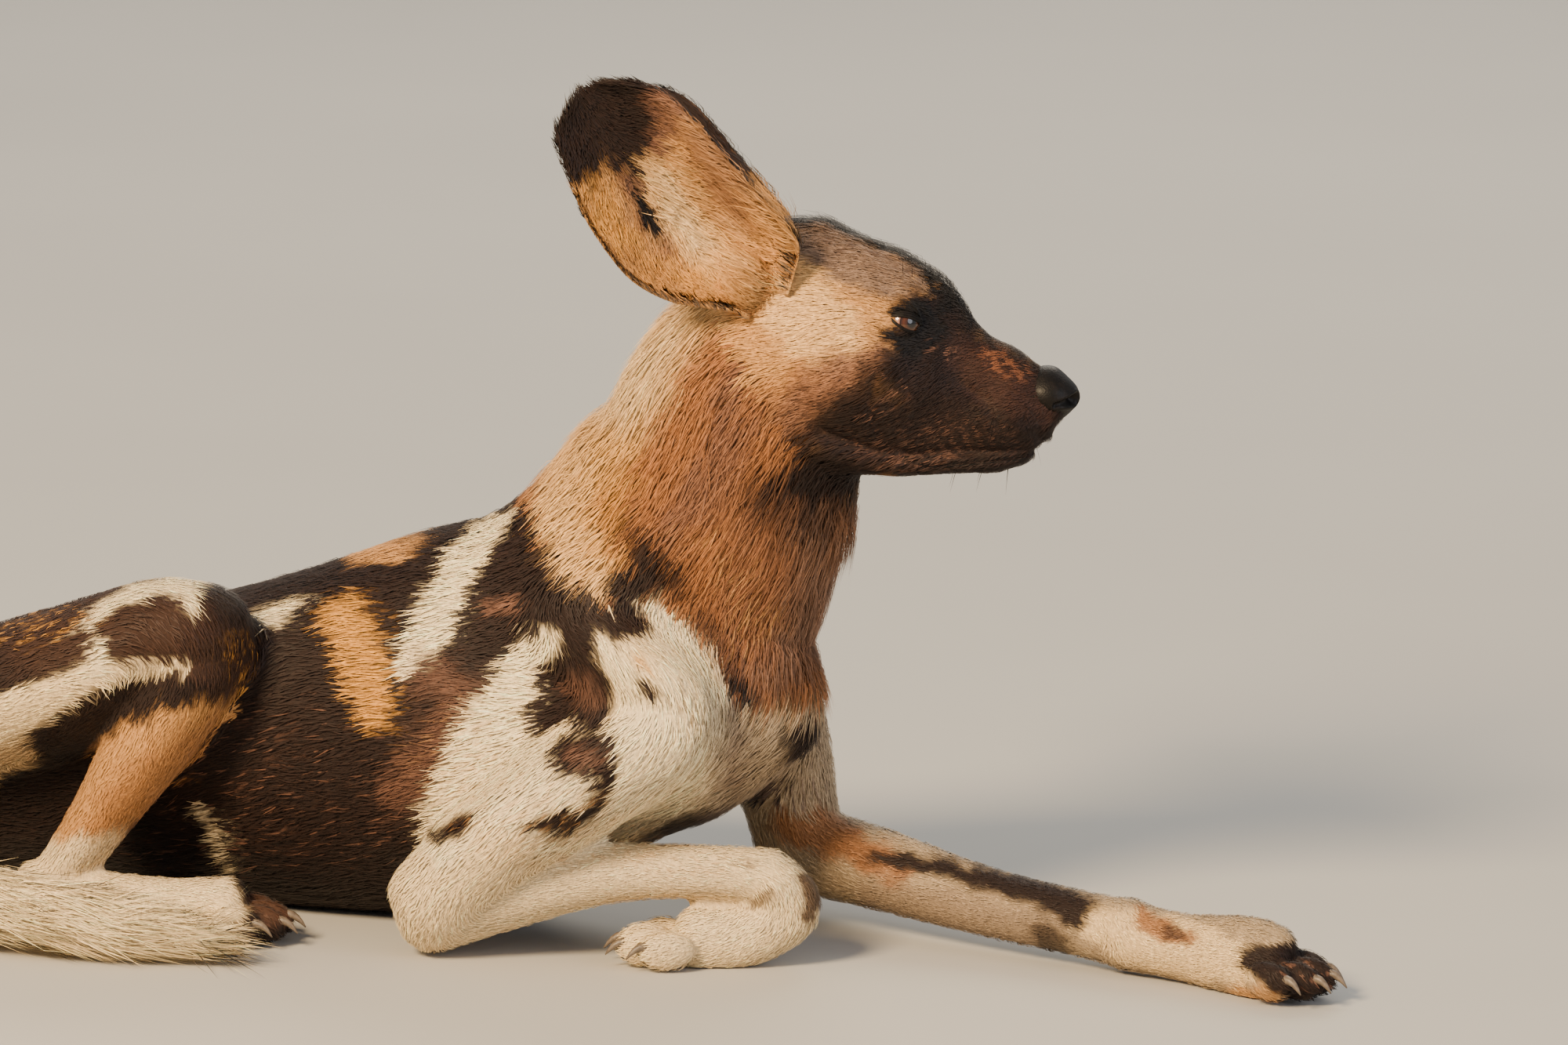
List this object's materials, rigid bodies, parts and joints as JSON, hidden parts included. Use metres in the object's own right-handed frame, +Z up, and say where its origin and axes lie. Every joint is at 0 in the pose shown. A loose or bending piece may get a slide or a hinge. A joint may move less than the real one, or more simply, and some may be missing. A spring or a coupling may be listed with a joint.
{
  "type": "african wild dog",
  "caption": "Life-size african wild dog lying on its chest, head raised, one foreleg stretched out and one folded, round cupped ears and a bushy tail curled round.",
  "frame": {"origin": "on the floor under the middle of the animal's box, so the model stands on Z = 0", "axes": "+X the way the head looks and the long way of the animal, +Y to the animal's left, +Z up"},
  "size_m": [0.984, 0.5422, 0.5643],
  "materials": {
    "coat_dark": "dark brown to black short guard hair, matt",
    "coat_tan": "golden tan short guard hair, matt",
    "coat_white": "cream white guard hair, matt",
    "nose_skin": "bare black pebbled nose skin, slightly moist",
    "eye": "dark brown glass eye, wet gloss"
  },
  "bodies": {
    "root": {"belly": "coat_dark", "chest": "coat_dark", "ear_left": "coat_dark", "ear_right": "coat_dark", "eye_left": "eye", "eye_right": "eye", "fore_left_forearm": "coat_tan", "fore_left_paw": "coat_tan", "fore_left_upper_arm": "coat_tan", "fore_right_forearm": "coat_white", "fore_right_paw": "coat_white", "fore_right_upper_arm": "coat_white", "head": "coat_tan", "hind_left_foot": "coat_white", "hind_left_shank": "coat_white", "hind_left_thigh": "coat_white", "hind_right_foot": "coat_white", "hind_right_shank": "coat_white", "hind_right_thigh": "coat_white", "lower_jaw": "coat_dark", "neck": "coat_tan", "nose": "nose_skin", "rump": "coat_dark", "tail_base": "coat_tan", "tail_brush": "coat_white"}
  },
  "joints": []
}
